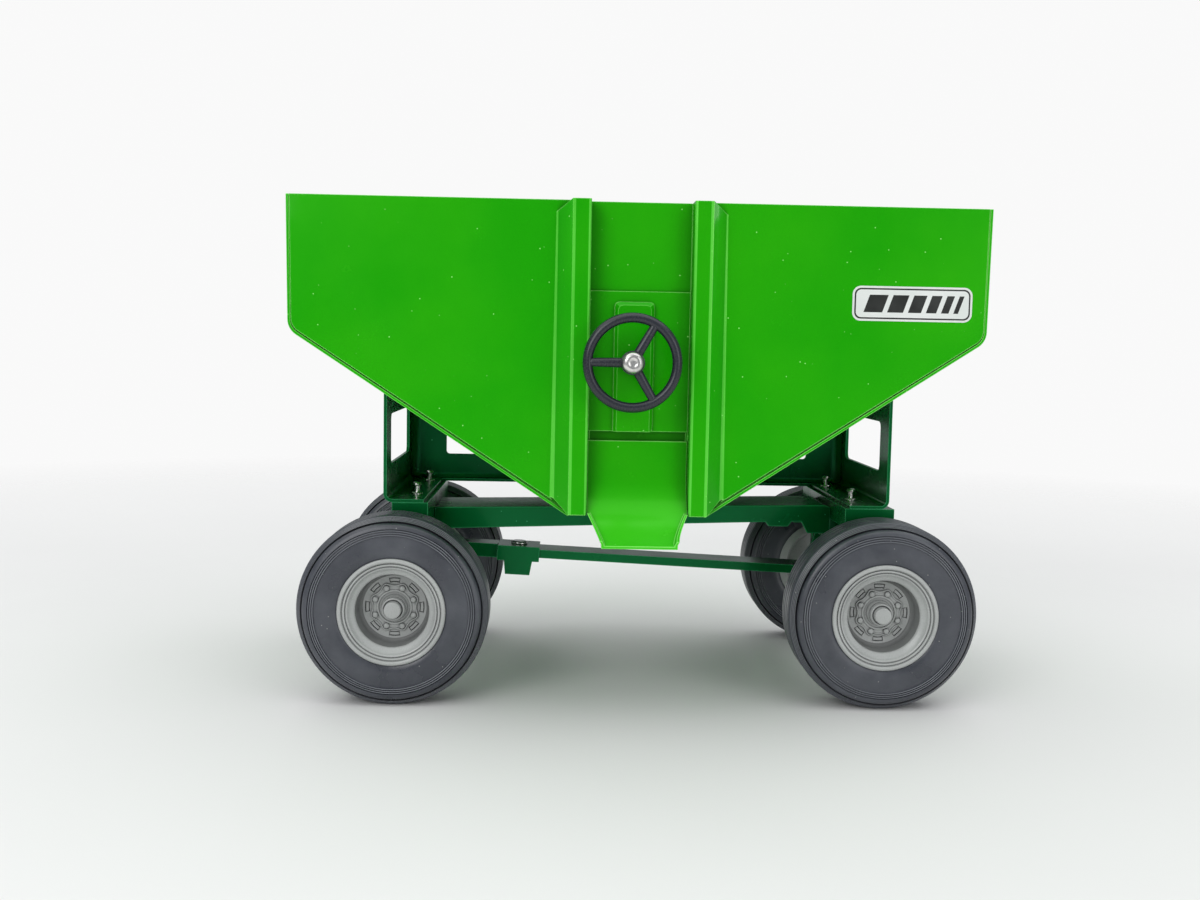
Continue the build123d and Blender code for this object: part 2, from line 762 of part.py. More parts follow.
def front_axle_bracket():
    """Steering bracket: top plate, two cheeks for the axle and two lugs for the tongue."""
    top = front_bolster_bottom_z - plate_gap
    plate = block(-bracket_half_length, bracket_half_length, -bracket_half_width,
                  bracket_half_width, top - bracket_plate, top)
    body = plate
    for side in (-1, 1):
        y0, y1 = sorted((side * bracket_half_width, side * (bracket_half_width - cheek)))
        body += block(-leg_half_length, leg_half_length, y0, y1, axle_z, top)
        body += rod_y(0, axle_z, leg_half_length, y0, y1)
        y0, y1 = sorted((side * lug_inner, side * (lug_inner + lug_wall)))
        lug = prism_y([
            (-bracket_half_length, top),
            (bracket_half_length, top),
            (-tongue_pin_back + 3.4, tongue_pin_z - 1.0),
            (-tongue_pin_back - 3.4, tongue_pin_z - 1.0),
            (-tongue_pin_back - 3.4, tongue_pin_z + 2.0),
        ], y0, y1)
        eye = rod_y(-tongue_pin_back, tongue_pin_z, 3.4, y0, y1)
        body += lug + eye
    body = Pos(front_axle_x, 0, 0) * body
    body -= rod_z(front_axle_x, 0, kingpin_radius + run_fit, 30, 60)
    body -= rod_y(front_axle_x, axle_z, axle_radius, -60, 60)
    return body - rod_y(tongue_pin_x, tongue_pin_z, tongue_pin_radius, -60, 60)


def tongue_pin():
    """Cross pin of the tongue, headed at both ends."""
    end = lug_inner + lug_wall
    pin = rod_y(tongue_pin_x, tongue_pin_z, tongue_pin_radius, -end - 0.8, end + 0.8)
    for side in (-1, 1):
        y0, y1 = sorted((side * end, side * (end + 0.8)))
        pin += rod_y(tongue_pin_x, tongue_pin_z, tongue_pin_radius * 1.6, y0, y1)
    return pin


# ---- tongue, drawn level with its pin at the origin and pointing to -X ----

def stow(shape):
    """Turn a tongue piece to its stowed slope and hang it on its pin."""
    return Pos(tongue_pin_x, 0, tongue_pin_z) * Rot(0, tongue_rest_deg, 0) * shape


def channel(start, end, half_width, top, depth, wall):
    """Inverted channel along X between two distances from the pin."""
    outer = block(-end, -start, -half_width, half_width, top - depth, top)
    return outer - block(-end - 1, -start + 1, -half_width + wall, half_width - wall,
                         top - depth - 1, top - wall)


def tongue_bar():
    """Inverted channel bar with an eye at its root."""
    top = tongue_depth / 2
    bar = channel(2.4, saddle_end - 1.0, tongue_half_width, top, tongue_depth, tongue_wall)
    eye = rod_y(0, 0, 2.4, -tongue_half_width, tongue_half_width)
    web = block(-6.0, 0, -tongue_half_width, tongue_half_width, -top, top)
    body = bar + eye + web
    body -= rod_z(-(saddle_start + saddle_end) / 2, 0, hitch_rivet_radius, -10, 10)
    return stow(body - rod_y(0, 0, tongue_pin_radius + run_fit, -20, 20))


def hitch_saddle():
    """Saddle pressed over the end of the bar, with a hanging guard on each side."""
    top = tongue_depth / 2 + saddle_wall
    half = tongue_half_width + saddle_wall
    body = channel(saddle_start, saddle_end, half, top, saddle_depth, saddle_wall)
    mid = -(saddle_start + saddle_end) / 2
    for side in (-1, 1):
        y0, y1 = sorted((side * half, side * (half - saddle_wall)))
        body += prism_y([
            (mid - guard_half_base, top - saddle_wall),
            (mid + guard_half_base, top - saddle_wall),
            (mid + guard_half_foot, top - guard_drop),
            (mid - guard_half_foot, top - guard_drop),
        ], y0, y1)
    return stow(body - rod_z(mid, 0, hitch_rivet_radius, -10, 10))


def hitch_tip():
    """Rounded channel tip under the bar's end, with the hitch pin hole."""
    top = tongue_depth / 2 - tongue_wall
    outer = block(-tip_end, -saddle_start, -tip_half_width + 0.6, tip_half_width - 0.6,
                  top - tip_depth + 1.6, top)
    nose_top = tongue_depth / 2 + saddle_wall
    nose = block(-tip_end, -saddle_end - 0.2, -tip_half_width, tip_half_width,
                 nose_top - tip_depth, nose_top)
    ends = [e for e in nose.edges().filter_by(Axis.Z) if e.center().X < -tip_end + 1]
    nose = fillet(ends, tip_half_width - 0.1)
    outer &= block(-saddle_end - 2, 0, -20, 20, -20, 20)
    body = outer + nose
    body -= block(-saddle_end + 3, 0, -20, 20, -20, top - 1.2)
    body -= rod_z(-tip_end + tip_half_width, 0, hitch_hole_radius, -20, 20)
    return stow(body - rod_z(-(saddle_start + saddle_end) / 2, 0, hitch_rivet_radius, -20, 20))


def hitch_rivet():
    """Domed rivet through saddle, bar and tip."""
    mid = -(saddle_start + saddle_end) / 2
    top = tongue_depth / 2 + saddle_wall
    low = tongue_depth / 2 - tongue_wall - 1.2
    stem = rod_z(mid, 0, hitch_rivet_radius, low - 0.6, top)
    head = rod_z(mid, 0, hitch_rivet_head, top, top + 0.9)
    head = fillet(head.edges().group_by(Axis.Z)[-1], 0.6)
    tail = rod_z(mid, 0, hitch_rivet_radius * 1.5, low - 0.6, low)
    return stow(stem + head + tail)


# ---- wheels: drawn with the axle along Z, outer face up ----

def revolve_profile(points):
    """Ring with an outline in (radius, axial) about Z."""
    face = Plane.XZ * make_face(Polyline(*points, close=True))
    return revolve(face, axis=Axis.Z)


def tyre_shape():
    """Rib implement tyre."""
    half = tyre_width / 2
    section = [
        (bead_radius, -half + 1.6),
        (bead_radius + 1.6, -half + 0.5),
        (18.4, -half),
        (22.0, -half + 0.4),
        (24.6, -half + 1.6),
        (tyre_radius - 0.7, -half + 2.9),
        (tyre_radius - 0.7, -half + 3.3),
        (tyre_radius, -half + 3.5),
    ]
    other = [(r, -z) for r, z in section][::-1]
    return revolve_profile(section + other)


def rim_shape():
    """Moulded rim: flanges, stepped dish, disc with bolt heads and pockets, and hub."""
    half = tyre_width / 2
    profile = [
        (axle_radius + run_fit, -half - 0.2),
        (hub_radius, -half - 0.2),
        (hub_radius + 0.4, -1.2),
        (disc_radius, -1.2),
        (12.2, -half + 1.2),
        (12.4, -half + 0.9),
        (rim_flange_radius, -half + 0.7),
        (bead_radius, -half + 1.6),
        (bead_radius, half - 1.6),
        (rim_flange_radius, half - 0.7),
        (rim_flange_radius, half - 0.3),
        (13.9, half - 0.05),
        (12.6, half - 0.9),
        (11.2, half - 1.5),
        (10.8, half - 2.4),
        (disc_radius, 0.9),
        (disc_radius - 0.6, disc_face),
        (hub_radius + 0.8, disc_face),
        (hub_radius, hub_face),
        (axle_radius + run_fit, hub_face),
    ]
    rim = revolve_profile(profile)
    for i in range(bolt_count):
        angle = 360 * (i + 0.5) / bolt_count
        boss = Pos(bolt_circle, 0, disc_face + 0.3) * Cylinder(bolt_radius, 1.0)
        rim += Rot(0, 0, angle) * boss
    for i in range(pocket_count):
        angle = 360 * i / pocket_count
        rim -= Rot(0, 0, angle) * Pos(pocket_circle, 0, disc_face) * Box(1.3, 3.0, 2 * pocket_depth)
    return rim


def place_wheel(shape, x, side):
    """Put a wheel piece on its axle end; side is -1 near, 1 far."""
    turn = Rot(90, 0, 0) if side < 0 else Rot(-90, 0, 0)
    return Pos(x, side * track / 2, axle_z) * turn * shape


def axle_rod(x):
    """Plain axle rod."""
    return rod_y(x, axle_z, axle_radius, -axle_end, axle_end)


def axle_caps(x):
    """Pair of push-on domed hub caps that keep the wheels on."""
    caps = []
    cap_start = track / 2 + hub_face + cap_gap
    for side in (-1, 1):
        collar = Pos(0, 0, cap_start + cap_collar / 2) * Cylinder(hub_radius - 0.2, cap_collar)
        cap = Pos(0, 0, cap_start + cap_collar + cap_dome / 2) * Cylinder(cap_radius, cap_dome)
        cap = fillet(cap.edges().group_by(Axis.Z)[-1], cap_dome / 4)
        bore_length = axle_end - cap_start
        bore = Pos(0, 0, cap_start + bore_length / 2) * Cylinder(axle_radius, bore_length)
        turn = Rot(90, 0, 0) if side < 0 else Rot(-90, 0, 0)
        caps.append(Pos(x, 0, axle_z) * turn * (collar + cap - bore))
    return Compound(children=caps)


def side_decal():
    """Plain rounded label on the discharge side."""
    face = Plane.XZ * Pos(72.0, 113.2) * RectangleRounded(32.0, 9.2, 2.2)
    return Pos(0, panel_y, 0) * extrude(face, amount=0.12)


def main():
    """Build and write every piece."""
    save("near_side_panel", near_side_panel())
    save("far_side_panel", far_side_panel())
    front = front_end_panel()
    save("front_end_panel", front)
    save("rear_end_panel", mirror(front, about=Plane.YZ))
    save("floor_ramp", floor_ramp())
    save("door_cover_plate", door_cover_plate())
    save("gate_plate", gate_plate())
    save("gate_guides", gate_guides())
    save("gate_rack", gate_rack())
    save("pinion", pinion())
    save("handwheel_shaft", handwheel_shaft())
    save("handwheel", handwheel())
    save("chute", chute())
    save("skirt", skirt())
    save("skirt_rivets", skirt_rivets())
    save("rear_bolster", rear_bolster())
    save("front_bolster", front_bolster())
    save("reach", reach())
    save("kingpin", kingpin())
    save("front_axle_bracket", front_axle_bracket())
    save("tongue_pin", tongue_pin())
    save("tongue_bar", tongue_bar())
    save("hitch_saddle", hitch_saddle())
    save("hitch_tip", hitch_tip())
    save("hitch_rivet", hitch_rivet())
    save("side_decal", side_decal())
    tyre = tyre_shape()
    rim = rim_shape()
    for end, x in (("front", front_axle_x), ("rear", rear_axle_x)):
        save(f"{end}_axle_rod", axle_rod(x))
        save(f"{end}_axle_caps", axle_caps(x))
        for hand, side in (("near", -1), ("far", 1)):
            save(f"{end}_{hand}_tyre", place_wheel(tyre, x, side))
            save(f"{end}_{hand}_rim", place_wheel(rim, x, side))


main()
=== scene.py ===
import math

import bmesh
import bpy
from mathutils import Matrix, Vector


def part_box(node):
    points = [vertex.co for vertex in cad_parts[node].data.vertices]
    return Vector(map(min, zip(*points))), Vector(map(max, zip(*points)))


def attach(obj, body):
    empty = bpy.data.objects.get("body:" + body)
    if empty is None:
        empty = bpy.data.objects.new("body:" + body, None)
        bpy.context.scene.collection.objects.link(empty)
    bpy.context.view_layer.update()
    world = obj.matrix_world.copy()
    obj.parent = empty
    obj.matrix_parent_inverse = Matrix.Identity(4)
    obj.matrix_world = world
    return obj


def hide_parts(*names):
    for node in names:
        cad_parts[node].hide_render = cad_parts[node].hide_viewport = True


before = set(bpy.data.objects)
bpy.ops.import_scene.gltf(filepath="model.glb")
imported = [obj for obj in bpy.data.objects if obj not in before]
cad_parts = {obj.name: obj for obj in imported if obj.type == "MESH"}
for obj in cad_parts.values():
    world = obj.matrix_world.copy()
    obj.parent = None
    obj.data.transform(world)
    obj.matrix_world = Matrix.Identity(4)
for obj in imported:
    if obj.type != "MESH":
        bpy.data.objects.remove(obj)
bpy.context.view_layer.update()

# ---- Running gear: reach and bolsters ----
# The frame of the wagon is three die-cast pieces: a cross bolster over each axle and an
# inverted channel, the reach, between them. All are dipped in dark green enamel; their cast
# edges are rounded and lighter with a painted highlight, and their corners darker with painted
# shade.
MM = 0.001
DARK_GREEN = (0.0008, 0.092, 0.019)
DARK_GREEN_THIN = (0.002, 0.130, 0.030)
# The edge colours are lighter copies of the enamel that paint a highlight along rolled edges.
DARK_GREEN_EDGE_HIGHLIGHT = (0.012, 0.21, 0.065)
DARK_GREEN_EDGE_HIGHLIGHT_THIN = (0.03, 0.27, 0.10)
# Colour of the painted edge highlights, also used for dust specks.
DARK_GREEN_HIGHLIGHT_AND_DUST = (0.08, 0.46, 0.20)
DARK_GREEN_GLOSS = (0.10, 1.0, 0.40)
CAST_ROLL = 0.3 * MM
PRESSED_ROLL = 0.25 * MM


def new_finish(name):
    """A material, its shader and the piece's own coordinates to lay a finish on."""
    material = bpy.data.materials.new(name)
    material.use_nodes = True
    shader = material.node_tree.nodes["Principled BSDF"]
    place = material.node_tree.nodes.new("ShaderNodeTexCoord").outputs["Object"]
    return material, shader, place


def noise(material, place, per_metre, detail=3.0, roughness=0.5):
    """Soft irregular value between 0 and 1, with so many lumps to the metre."""
    node = material.node_tree.nodes.new("ShaderNodeTexNoise")
    node.inputs["Scale"].default_value = per_metre
    node.inputs["Detail"].default_value = detail
    node.inputs["Roughness"].default_value = roughness
    material.node_tree.links.new(place, node.inputs["Vector"])
    return node.outputs["Fac"]


def between(material, value, low, high, out_low=0.0, out_high=1.0):
    """Map a value's range from low to high onto a new range, and hold it there beyond."""
    node = material.node_tree.nodes.new("ShaderNodeMapRange")
    node.inputs["From Min"].default_value = low
    node.inputs["From Max"].default_value = high
    node.inputs["To Min"].default_value = out_low
    node.inputs["To Max"].default_value = out_high
    material.node_tree.links.new(value, node.inputs["Value"])
    return node.outputs["Result"]


def blend_colour(material, factor, first, second):
    """First colour where factor is 0, second where it is 1; either may be another blend."""
    node = material.node_tree.nodes.new("ShaderNodeMix")
    node.data_type = "RGBA"
    material.node_tree.links.new(factor, node.inputs["Factor"])
    for colour, socket in ((first, node.inputs[6]), (second, node.inputs[7])):
        if isinstance(colour, tuple):
            socket.default_value = (*colour, 1.0)
        else:
            material.node_tree.links.new(colour, socket)
    return node.outputs[2]


def relief(material, shader, height, depth, strength=1.0):
    """Surface texture from a height value, so many metres deep."""
    node = material.node_tree.nodes.new("ShaderNodeBump")
    node.inputs["Distance"].default_value = depth
    node.inputs["Strength"].default_value = strength
    material.node_tree.links.new(height, node.inputs["Height"])
    material.node_tree.links.new(node.outputs["Normal"], shader.inputs["Normal"])


def dust(material, place, per_metre, size):
    """1 at small scattered specks, 0 elsewhere; size is a share of their spacing."""
    node = material.node_tree.nodes.new("ShaderNodeTexVoronoi")
    node.inputs["Scale"].default_value = per_metre
    material.node_tree.links.new(place, node.inputs["Vector"])
    near = between(material, node.outputs["Distance"], size * 0.6, size, 1.0, 0.0)
    some = between(material, noise(material, place, per_metre * 0.4), 0.54, 0.57)
    both = material.node_tree.nodes.new("ShaderNodeMath")
    both.operation = "MULTIPLY"
    material.node_tree.links.new(near, both.inputs[0])
    material.node_tree.links.new(some, both.inputs[1])
    return both.outputs["Value"]


def edge_value(material, radius):
    """1 along hard edges and corners, 0 on flat stretches."""
    rounded = material.node_tree.nodes.new("ShaderNodeBevel")
    rounded.samples = 4
    rounded.inputs["Radius"].default_value = radius
    plain = material.node_tree.nodes.new("ShaderNodeNewGeometry")
    dot = material.node_tree.nodes.new("ShaderNodeVectorMath")
    dot.operation = "DOT_PRODUCT"
    material.node_tree.links.new(rounded.outputs["Normal"], dot.inputs[0])
    material.node_tree.links.new(plain.outputs["Normal"], dot.inputs[1])
    return between(material, dot.outputs["Value"], 0.98, 0.80)


def corner_value(material, reach):
    """1 deep in corners and hollows, 0 on open surfaces."""
    hollow = material.node_tree.nodes.new("ShaderNodeAmbientOcclusion")
    hollow.samples = 8
    hollow.inputs["Distance"].default_value = reach
    return between(material, hollow.outputs["AO"], 0.25, 0.90, 1.0, 0.0)


def enamel(name, colour, thin_colour, highlight_and_dust_colour, gloss, roughness, lower_highlight=None):
    """Glossy dipped enamel: slow change of depth, fine orange peel, painted highlights along
    edges, painted shade in corners, some dust.

    gloss is the tint of its highlights. lower_highlight is a painted highlight towards the
    bottom of the piece: its colour, the height at which it begins and the lower one where it is
    full."""
    material, shader, place = new_finish(name)
    links = material.node_tree.links
    depth = between(material, noise(material, place, 26.0, 4.0), 0.38, 0.66)
    body = blend_colour(material, depth, colour, thin_colour)
    # A painted highlight that grows towards the bottom of the piece, where one is given.
    if lower_highlight:
        lower_highlight_colour, begins, full = lower_highlight
        parts = material.node_tree.nodes.new("ShaderNodeSeparateXYZ")
        links.new(place, parts.inputs["Vector"])
        below = between(material, parts.outputs["Z"], begins, full)
        body = blend_colour(material, below, body, lower_highlight_colour)
    # Corners and hollows are darkened towards this colour: painted shade.
    corner_shade_colour = tuple(0.42 * c for c in colour)
    corner_shaded = blend_colour(material, corner_value(material, 7 * MM), body, corner_shade_colour)
    # Edges are lightened towards the highlight and dust colour: a painted highlight.
    edge_highlighted = blend_colour(material, edge_value(material, 0.4 * MM), corner_shaded, highlight_and_dust_colour)
    dusted = blend_colour(material, dust(material, place, 420.0, 0.085), edge_highlighted, highlight_and_dust_colour)
    links.new(dusted, shader.inputs["Base Color"])
    wiped = noise(material, place, 60.0, 5.0, 0.6)
    links.new(between(material, wiped, 0.35, 0.70, roughness, roughness + 0.09),
              shader.inputs["Roughness"])
    shader.inputs["Specular IOR Level"].default_value = 0.6
    shader.inputs["Specular Tint"].default_value = (*gloss, 1.0)
    shader.inputs["Coat Weight"].default_value = 0.06
    shader.inputs["Coat Roughness"].default_value = 0.05
    relief(material, shader, noise(material, place, 420.0, 2.0), 0.02 * MM, 0.14)
    return material


def whole_faces(node):
    """A bmesh of one CAD node with its loose triangles joined into whole faces."""
    bm = bmesh.new()
    bm.from_mesh(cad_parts[node].data)
    bmesh.ops.remove_doubles(bm, verts=bm.verts, dist=0.002 * MM)
    bmesh.ops.dissolve_limit(bm, angle_limit=math.radians(0.6), use_dissolve_boundaries=False,
                             verts=bm.verts, edges=bm.edges)
    return bm


def place_piece(bm, name, finishes, body, nodes, edge_angle=35.0):
    """Turn a bmesh into a piece in its finishes that rides on a body and stands for CAD nodes."""
    mesh = bpy.data.meshes.new(name)
    bm.to_mesh(mesh)
    bm.free()
    mesh.shade_smooth()
    mesh.set_sharp_from_angle(angle=math.radians(edge_angle))
    piece = bpy.data.objects.new(name, mesh)
    bpy.context.scene.collection.objects.link(piece)
    for finish in finishes:
        mesh.materials.append(finish)
    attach(piece, body)
    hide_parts(*nodes)
    return piece


def round_edges(piece, width):
    """Roll the hard edges of a piece over; they take its last finish, a lighter copy that paints a
    highlight along them where the piece has two finishes.
    """
    bevel = piece.modifiers.new("rolled edges", "BEVEL")
    bevel.width = width
    bevel.segments = 3
    bevel.limit_method = "ANGLE"
    bevel.angle_limit = math.radians(30)
    bevel.material = len(piece.data.materials) - 1
    weighted = piece.modifiers.new("flat faces stay flat", "WEIGHTED_NORMAL")
    weighted.keep_sharp = True
    weighted.weight = 100


def rolled_piece(node, name, finishes, body, roll):
    """A pressed, cast or turned piece: the CAD shape with its edges rolled over."""
    piece = place_piece(whole_faces(node), name, finishes, body, [node])
    round_edges(piece, roll)


gear_enamel = [enamel("gear_enamel", DARK_GREEN, DARK_GREEN_THIN, DARK_GREEN_HIGHLIGHT_AND_DUST,
                      DARK_GREEN_GLOSS, 0.20),
               enamel("gear_edge_highlight_enamel", DARK_GREEN_EDGE_HIGHLIGHT, DARK_GREEN_EDGE_HIGHLIGHT_THIN,
                      DARK_GREEN_HIGHLIGHT_AND_DUST, DARK_GREEN_GLOSS, 0.16)]
for node in ("rear_bolster", "front_bolster", "reach"):
    rolled_piece(node, f"{node}_casting", gear_enamel, "wagon", CAST_ROLL)

# ---- Plated pins and axles ----
# The kingpin, tongue pin and axle rods are turned from plated wire. Their heads are cold
# formed, so their edges are slightly rolled.
PLATE = (0.74, 0.73, 0.70)
PLATE_DARK = (0.42, 0.42, 0.41)
PIN_ROLL = 0.12 * MM


def plated(name, squeeze):
    """Bright plated steel with fine turning marks, closer together by squeeze on each axis."""
    material, shader, place = new_finish(name)
    links = material.node_tree.links
    stretch = material.node_tree.nodes.new("ShaderNodeMapping")
    stretch.inputs["Scale"].default_value = squeeze
    links.new(place, stretch.inputs["Vector"])
    marks = noise(material, stretch.outputs["Vector"], 300.0, 6.0, 0.7)
    links.new(blend_colour(material, between(material, marks, 0.4, 0.62), PLATE, PLATE_DARK),
              shader.inputs["Base Color"])
    shader.inputs["Metallic"].default_value = 1.0
    links.new(between(material, marks, 0.3, 0.7, 0.16, 0.38), shader.inputs["Roughness"])
    relief(material, shader, marks, 0.01 * MM, 0.4)
    return material


steel = [plated("plated_steel", (1.0, 6.0, 1.0))]
for node, body in (("kingpin", "wagon"), ("tongue_pin", "front_axle"),
                   ("rear_axle_rod", "wagon"), ("front_axle_rod", "front_axle")):
    rolled_piece(node, f"{node}_plated", steel, body, PIN_ROLL)

# ---- Steering bracket ----
# One casting under the front bolster: a top plate that swings on the kingpin, a cheek at
# each end for the axle and two lugs between which the tongue hangs.
rolled_piece("front_axle_bracket", "steering_bracket", gear_enamel, "front_axle",
             CAST_ROLL)

# ---- Rims ----
# Each rim is moulded in grey plastic: a rounded outer flange, a ledge with two fine
# grooves, a cone, a deep well and a disc with eight bolt heads, eight shallow pockets and
# a scalloped centre plate. The well wall is darker with painted shade. Sizes in millimetres.
RIM_GREY = (0.44, 0.455, 0.445)
RIM_SHADE = (0.030, 0.031, 0.033)
WELL_SHADE_GREY = (0.19, 0.197, 0.193)
AROUND = 96
BOLTS = 8
SECTOR = 360 / BOLTS
DISC_OUT = 0.4
POCKET_INNER = 6.95
POCKET_OUTER = 8.35
POCKET_HALF_ANGLE = 12.2
WELL_INNER = 8.95
WELL_OUTER = 10.25
WELL_OUT = 6.2
PLATE_RADIUS = 6.15
PLATE_RISE = 0.62
BOLT_CIRCLE = 5.75


def moulded(name, colour, shade, roughness, gather):
    """Moulded plastic: a fine grain, faint flow marks and painted shade in its hollows."""
    material, shader, place = new_finish(name)
    links = material.node_tree.links
    flow = between(material, noise(material, place, 70.0, 4.0), 0.35, 0.7)
    tint = blend_colour(material, flow, colour, tuple(0.82 * c for c in colour))
    links.new(blend_colour(material, corner_value(material, gather), tint, shade),
              shader.inputs["Base Color"])
    grain = noise(material, place, 2600.0, 3.0)
    links.new(between(material, grain, 0.3, 0.7, roughness, roughness + 0.12),
              shader.inputs["Roughness"])
    relief(material, shader, grain, 0.02 * MM, 0.3)
    return material


def turned(outline, steps=AROUND, closed=False):
    """Solid turned about Y from a (radius, out) outline in millimetres: an open one that
    starts and ends at radius 0, or a closed one, which makes a ring."""
    bm = bmesh.new()
    line = [bm.verts.new((r * MM, -out * MM, 0)) for r, out in outline]
    ends = line[1:] + line[:1] if closed else line[1:]
    edges = [bm.edges.new((a, b)) for a, b in zip(line, ends)]
    bmesh.ops.spin(bm, geom=line + edges, cent=(0, 0, 0), axis=(0, 1, 0), dvec=(0, 0, 0),
                   angle=2 * math.pi, steps=steps, use_merge=True, use_duplicate=False)
    bmesh.ops.remove_doubles(bm, verts=bm.verts, dist=0.001 * MM)
    bmesh.ops.recalc_face_normals(bm, faces=bm.faces)
    return bm


def add_to(bm, extra):
    """Pour one bmesh into another."""
    mesh = bpy.data.meshes.new("pour")
    extra.to_mesh(mesh)
    extra.free()
    bm.from_mesh(mesh)
    bpy.data.meshes.remove(mesh)


def on_wheel(face):
    """Radius, angle about Y and distance out of a face, in millimetres and degrees."""
    centre = face.calc_center_median()
    angle = math.degrees(math.atan2(centre.z, centre.x)) % 360
    return math.hypot(centre.x, centre.z) / MM, angle, -centre.y / MM


def half_turned(bm):
    """Face a wheel's piece the other way along Y."""
    bmesh.ops.rotate(bm, verts=bm.verts, matrix=Matrix.Rotation(math.pi, 3, "Z"))


def scalloped_plate():
    """Centre plate of the disc, with a lobe between each two bolts and a sunk middle."""
    plate = bmesh.new()
    bmesh.ops.create_circle(plate, cap_ends=True, segments=128, radius=PLATE_RADIUS * MM)
    for vert in plate.verts:
        angle = math.atan2(vert.co.y, vert.co.x)
        lobe = 0.5 - 0.5 * math.cos(BOLTS * angle)
        vert.co.xy *= 1 + 0.15 * lobe ** 1.3
    bmesh.ops.rotate(plate, verts=plate.verts, matrix=Matrix.Rotation(math.radians(90), 3, "X"))
    bmesh.ops.translate(plate, verts=plate.verts, vec=(0, -(DISC_OUT - 0.1) * MM, 0))
    grown = bmesh.ops.extrude_face_region(plate, geom=plate.faces[:])["geom"]
    top = [g for g in grown if isinstance(g, bmesh.types.BMFace)]
    bmesh.ops.translate(plate, verts=top[0].verts, vec=(0, -PLATE_RISE * MM, 0))
    bmesh.ops.inset_region(plate, faces=top, thickness=0.10 * MM, depth=0.10 * MM)
    bmesh.ops.inset_region(plate, faces=top, thickness=0.22 * MM, depth=0)
    bmesh.ops.inset_region(plate, faces=top, thickness=0.10 * MM, depth=-0.22 * MM)
    bmesh.ops.recalc_face_normals(plate, faces=plate.faces)
    return plate


def press_pocket(bm, number):
    """Sink one shallow pocket with a raised rim and a raised middle into the disc."""
    inside = []
    for face in bm.faces:
        radius, angle, out = on_wheel(face)
        turn = (angle - number * SECTOR + 180) % 360 - 180
        on_disc = POCKET_INNER < radius < POCKET_OUTER and abs(out - DISC_OUT) < 0.05
        if on_disc and abs(turn) < POCKET_HALF_ANGLE:
            inside.append(face)
    for thickness, depth in ((0.10, 0.10), (0.08, -0.55), (0.09, 0), (0.05, 0.38)):
        bmesh.ops.inset_region(bm, faces=inside, thickness=thickness * MM, depth=depth * MM)


def rim_shape():
    """One rim with its outer face towards -Y, centred on the origin."""
    bm = turned([
        (1.55, -8.95), (3.4, -8.95), (3.5, -8.7), (3.8, -1.2), (9.9, -1.2), (10.3, -1.5),
        (12.2, -7.55), (12.4, -7.85), (14.6, -8.1), (14.9, -8.0), (14.95, -7.8), (14.0, -7.15),
        (14.0, 7.15), (14.95, 7.9), (14.97, 8.15), (14.85, 8.4), (14.6, 8.58), (14.3, 8.66),
        (14.0, 8.62), (13.8, 8.45), (13.68, 8.02), (13.48, 7.98), (13.36, 8.2), (12.9, 8.12),
        (12.76, 7.82), (12.58, 7.82), (12.46, 8.08), (12.2, 8.0), (12.0, 7.8), (11.85, 7.45),
        (11.2, 6.95), (10.6, 6.6), (10.35, 6.4), (10.2, 6.0), (10.1, 1.6), (9.9, 0.95),
        (9.4, 0.5), (8.9, DISC_OUT), (POCKET_OUTER, DISC_OUT), (POCKET_INNER, DISC_OUT),
        (4.3, DISC_OUT), (4.15, 0.62), (3.95, 0.7), (3.75, 0.7), (3.6, 0.85), (3.4, 2.05),
        (3.25, 2.2), (1.55, 2.2),
    ], closed=True)
    for face in bm.faces:
        radius, _, out = on_wheel(face)
        # The well wall takes the second finish: painted shade.
        if WELL_INNER < radius < WELL_OUTER and 0.2 < out < WELL_OUT:
            face.material_index = 1
    for number in range(BOLTS):
        press_pocket(bm, number)
    add_to(bm, scalloped_plate())
    for number in range(BOLTS):
        bolt = turned([(0, 0), (0.78, 0), (0.78, 0.95), (0.68, 1.12), (0.40, 1.22), (0, 1.25)], 20)
        turn = math.radians((number + 0.5) * SECTOR)
        seat = Vector((BOLT_CIRCLE * math.cos(turn), -DISC_OUT, BOLT_CIRCLE * math.sin(turn)))
        bmesh.ops.translate(bolt, verts=bolt.verts, vec=seat * MM)
        add_to(bm, bolt)
    add_to(bm, turned([(4.35, 0.5), (4.95, 0.5), (4.95, 1.0), (4.82, 1.12), (4.48, 1.12),
                       (4.35, 1.0)], closed=True))
    return bm


rim_plastic = moulded("rim_plastic", RIM_GREY, RIM_SHADE, 0.24, 1.1 * MM)
well_shade = moulded("well_shade", WELL_SHADE_GREY, RIM_SHADE, 0.40, 2.2 * MM)
WHEELS = [(end, hand) for end in ("front", "rear") for hand in ("near", "far")]
for end, hand in WHEELS:
    low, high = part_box(f"{end}_{hand}_tyre")
    rim = rim_shape()
    if hand == "far":
        half_turned(rim)
    bmesh.ops.translate(rim, verts=rim.verts, vec=(low + high) / 2)
    place_piece(rim, f"{end}_{hand}_moulded_rim", [rim_plastic, well_shade], f"{end}_{hand}_wheel",
                [f"{end}_{hand}_rim"], 40.0)

# ---- Tyres ----
# Implement tyres moulded in one piece of rubber: a smooth hollow sidewall, a cluster of
# thin decorative rings, a plain band, a groove and a stack of fine ribs on the shoulder,
# then five flat ribs round the tread.
RUBBER = (0.040, 0.044, 0.056)
RUBBER_WORN = (0.082, 0.088, 0.104)
# Lighter rubber paints a highlight on crests, darker rubber paints shade in grooves.
RUBBER_CREST_HIGHLIGHT = (0.165, 0.175, 0.195)
RUBBER_GROOVE_SHADE = (0.010, 0.011, 0.014)


